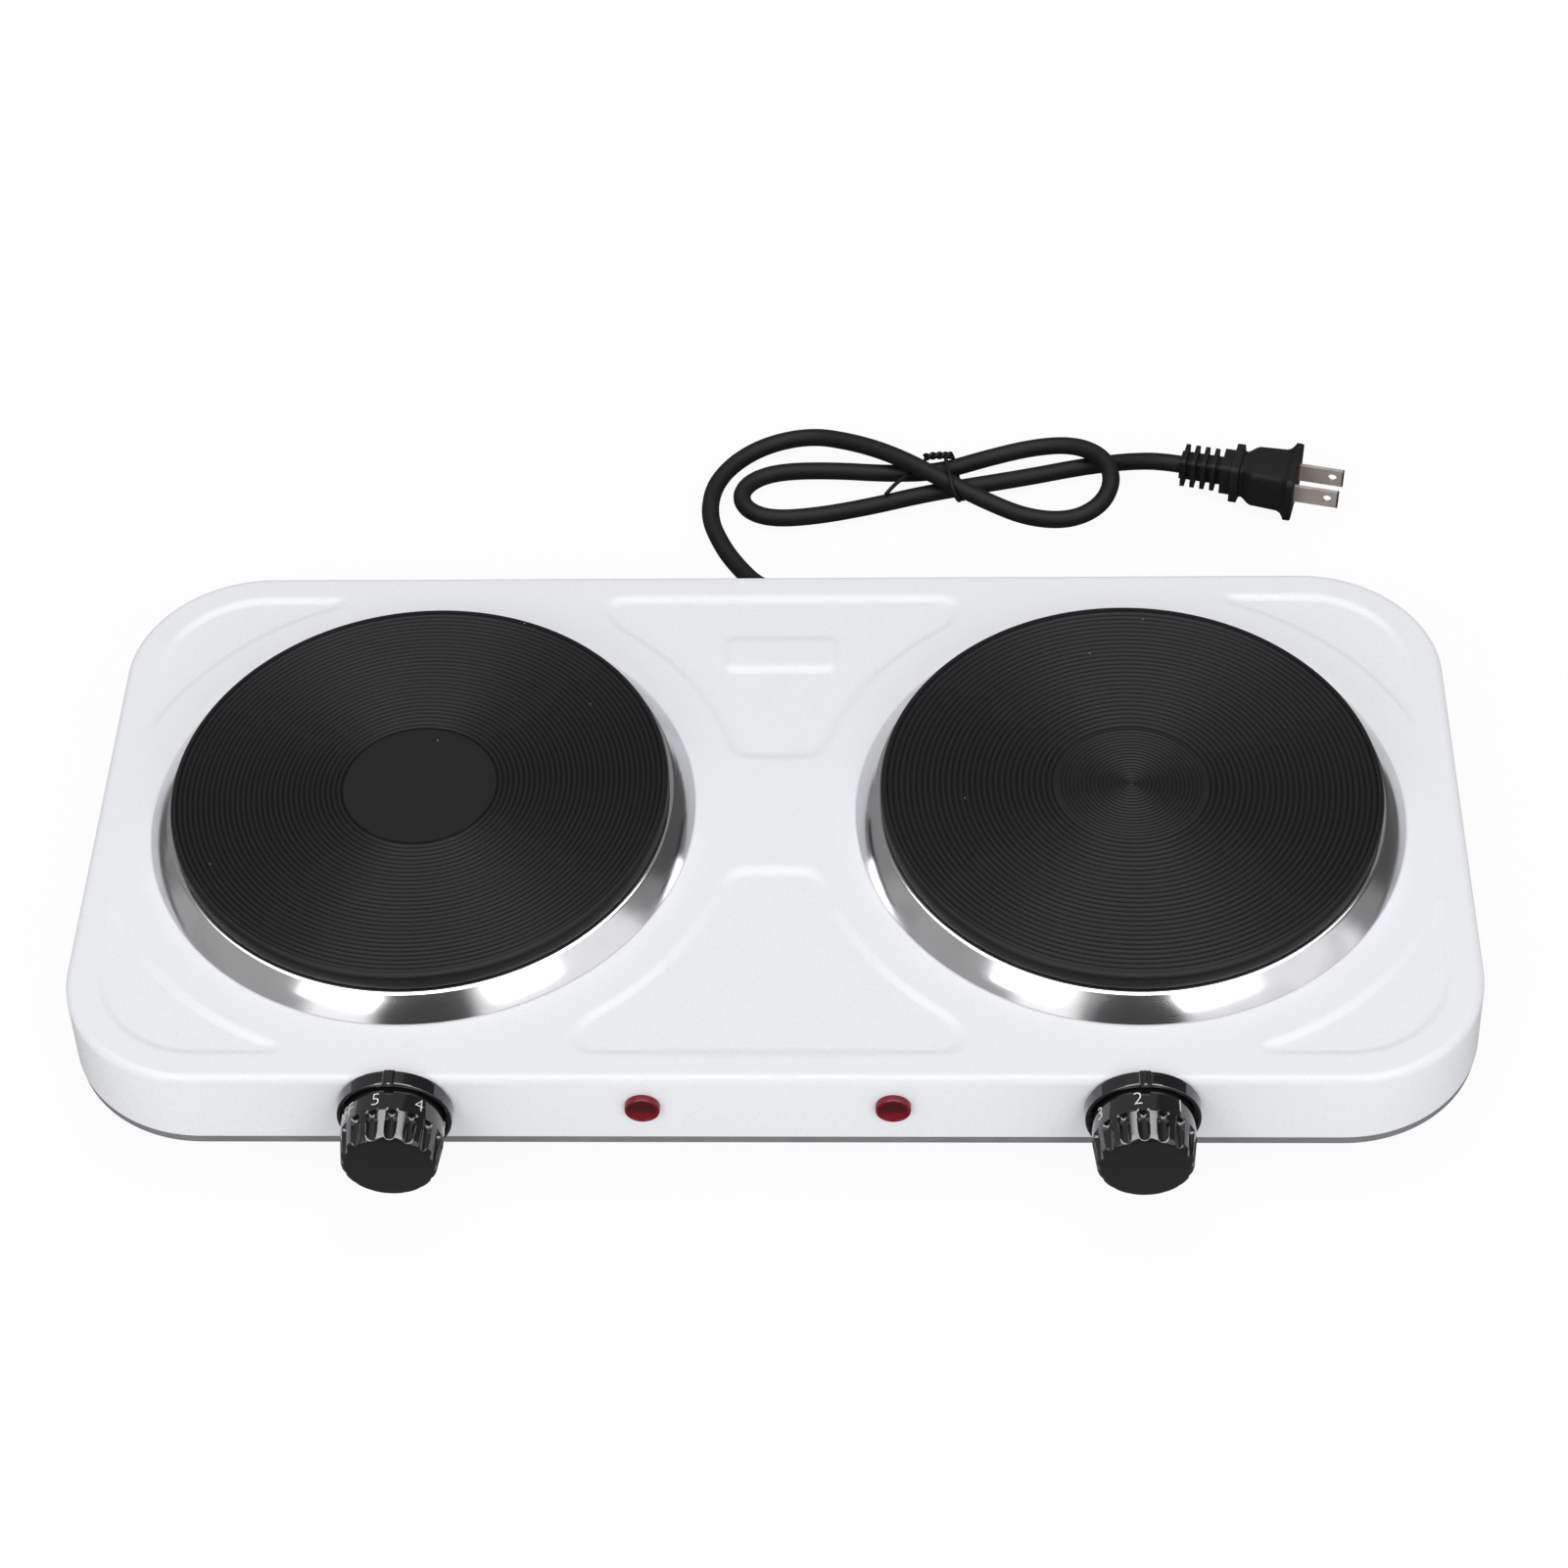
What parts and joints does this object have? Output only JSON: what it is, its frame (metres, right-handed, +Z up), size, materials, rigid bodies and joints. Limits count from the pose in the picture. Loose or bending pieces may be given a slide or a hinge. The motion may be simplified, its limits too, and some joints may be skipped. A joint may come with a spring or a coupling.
{
  "type": "double electric hot plate",
  "caption": "Low white countertop double hot plate with black cast iron plates in polished spill rings, fluted black control knobs, red pilot lamps and a tied mains cord with plug.",
  "frame": {"origin": "on the floor, under the middle of the box round the body, knobs and gland, cord left out", "axes": "+X to the right along the length, +Y to the back, +Z up"},
  "size_m": [0.428, 0.3447, 0.0546],
  "materials": {
    "white_enamel": "glossy white enamel",
    "grey_paint": "satin grey paint",
    "foot_rubber": "matte black",
    "cast_iron": "matte black coating, turned in fine rings",
    "polished_steel": "polished stainless",
    "black_plastic": "glossy black",
    "red_lens": "translucent dark red",
    "bulb_glass": "clear",
    "ceramic": "unglazed",
    "brass": "plain",
    "blade_metal": "plated",
    "cord_rubber": "satin black",
    "inner_plastic": "moulded",
    "lead_insulation": "braided glass sleeve",
    "steel": "plated"
  },
  "bodies": {
    "housing": {"base_plate": "grey_paint", "block_screws": "brass", "cord_gland": "cord_rubber", "cord_tie": "cord_rubber", "foot_screws": "steel", "front_left_foot": "foot_rubber", "front_right_foot": "foot_rubber", "left_bezel": "black_plastic", "left_bezel_screws": "steel", "left_clamp_bridge": "steel", "left_clamp_nut": "steel", "left_clamp_washer": "steel", "left_element_cover": "steel", "left_element_tabs": "brass", "left_element_terminal": "ceramic", "left_heater_ring": "ceramic", "left_hotplate": "cast_iron", "left_lamp_bulb": "bulb_glass", "left_lamp_clip": "steel", "left_lamp_lens": "red_lens", "left_leads": "lead_insulation", "left_plate_stud": "steel", "left_regulator": "inner_plastic", "left_regulator_tabs": "brass", "left_trim_ring": "polished_steel", "plug_blades": "blade_metal", "plug_body": "cord_rubber", "power_cord": "cord_rubber", "rear_left_foot": "foot_rubber", "rear_right_foot": "foot_rubber", "right_bezel": "black_plastic", "right_bezel_screws": "steel", "right_clamp_bridge": "steel", "right_clamp_nut": "steel", "right_clamp_washer": "steel", "right_element_cover": "steel", "right_element_tabs": "brass", "right_element_terminal": "ceramic", "right_heater_ring": "ceramic", "right_hotplate": "cast_iron", "right_lamp_bulb": "bulb_glass", "right_lamp_clip": "steel", "right_lamp_lens": "red_lens", "right_leads": "lead_insulation", "right_plate_stud": "steel", "right_regulator": "inner_plastic", "right_regulator_tabs": "brass", "right_trim_ring": "polished_steel", "shell_lugs": "steel", "supply_leads": "lead_insulation", "terminal_block": "inner_plastic", "top_shell": "white_enamel"},
    "left_control": {"left_knob": "black_plastic", "left_regulator_shaft": "steel"},
    "right_control": {"right_knob": "black_plastic", "right_regulator_shaft": "steel"}
  },
  "joints": [
    {"name": "left_knob_turn", "type": "hinge", "parent": "housing", "child": "left_control", "pos_m": [-0.1102, -0.1, 0.029], "axis": [0, 1, 0], "range_deg": [-290, 20]},
    {"name": "right_knob_turn", "type": "hinge", "parent": "housing", "child": "right_control", "pos_m": [0.1102, -0.1, 0.029], "axis": [0, 1, 0], "range_deg": [-151, 159]}
  ]
}
